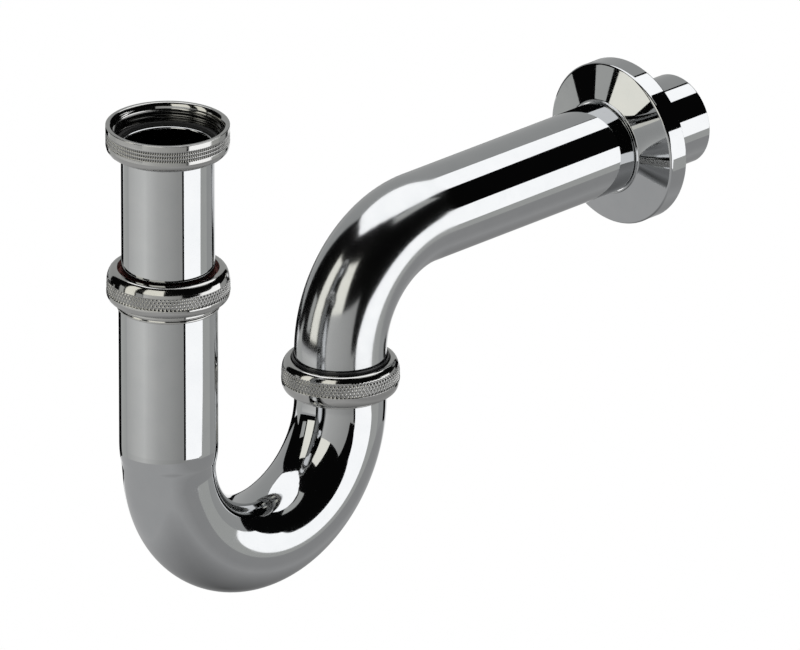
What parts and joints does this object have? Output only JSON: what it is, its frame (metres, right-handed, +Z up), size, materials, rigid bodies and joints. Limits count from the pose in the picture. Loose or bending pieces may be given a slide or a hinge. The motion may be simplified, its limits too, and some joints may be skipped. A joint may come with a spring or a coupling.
{
  "type": "sink trap",
  "caption": "Chromed tubular sink trap: sliding inlet pipe, U bend and outlet pipe joined by knurled nuts, with a round wall rosette.",
  "frame": {"origin": "centre of the inlet's sealing face, on the axis of the inlet pipe, where the basin waste lands on the gasket", "axes": "+Z up along the inlet pipe, +X level towards the wall, Y across the plane of symmetry"},
  "size_m": [0.3385, 0.0726, 0.228],
  "materials": {
    "chrome_tube": "polished chrome plate on brass tube",
    "chrome_nut": "chrome plate on turned and knurled brass",
    "black_rubber": "matt moulded rubber",
    "red_fibre": "pressed red-brown fibre",
    "black_plastic": "glossy black moulding"
  },
  "bodies": {
    "wall_pipe": {"outlet_pipe": "chrome_tube"},
    "rosette": {"wall_rosette": "chrome_tube"},
    "bend": {"u_bend": "chrome_tube", "inlet_thread_collar": "chrome_tube", "outlet_thread_collar": "chrome_tube", "adjusting_seal": "black_rubber", "outlet_gasket": "black_rubber"},
    "inlet": {"inlet_pipe": "chrome_tube", "inlet_flat_gasket": "black_rubber"},
    "union_nut": {"inlet_union_nut": "chrome_nut"},
    "adjusting_ring": {"adjusting_slip_ring": "red_fibre"},
    "adjusting_nut": {"adjusting_nut": "chrome_nut"},
    "outlet_ring": {"outlet_slip_ring": "black_plastic"},
    "outlet_nut": {"outlet_nut": "chrome_nut"}
  },
  "joints": [
    {"name": "rosette_slide", "type": "slide", "parent": "wall_pipe", "child": "rosette", "axis": [1, 0, 0], "range_m": [-0.095, 0.025]},
    {"name": "bend_swivel", "type": "hinge", "parent": "wall_pipe", "child": "bend", "pos_m": [0.104, 0, -0.138], "axis": [0, 0, 1], "range_deg": [-120, 120]},
    {"name": "inlet_height", "type": "slide", "parent": "bend", "child": "inlet", "axis": [0, 0, 1], "range_m": [-0.028, 0.022]},
    {"name": "union_nut_spin", "type": "hinge", "parent": "inlet", "child": "union_nut", "pos_m": [0, 0, 0], "axis": [0, 0, 1], "continuous": true},
    {"name": "adjusting_ring_lift", "type": "slide", "parent": "bend", "child": "adjusting_ring", "axis": [0, 0, 1], "range_m": [0, 0.00462]},
    {"name": "adjusting_nut_turn", "type": "hinge", "parent": "adjusting_ring", "child": "adjusting_nut", "pos_m": [0, 0, -0.066], "axis": [0, 0, 1], "range_deg": [0, 720]},
    {"name": "outlet_ring_lift", "type": "slide", "parent": "bend", "child": "outlet_ring", "axis": [0, 0, 1], "range_m": [0, 0.00462]},
    {"name": "outlet_nut_turn", "type": "hinge", "parent": "outlet_ring", "child": "outlet_nut", "pos_m": [0.104, 0, -0.138], "axis": [0, 0, 1], "range_deg": [0, 720]}
  ],
  "couplings": [
    {"joint": "adjusting_ring_lift", "follows": "adjusting_nut_turn", "m_per_rad": 0.00036749},
    {"joint": "outlet_ring_lift", "follows": "outlet_nut_turn", "m_per_rad": 0.00036749}
  ]
}
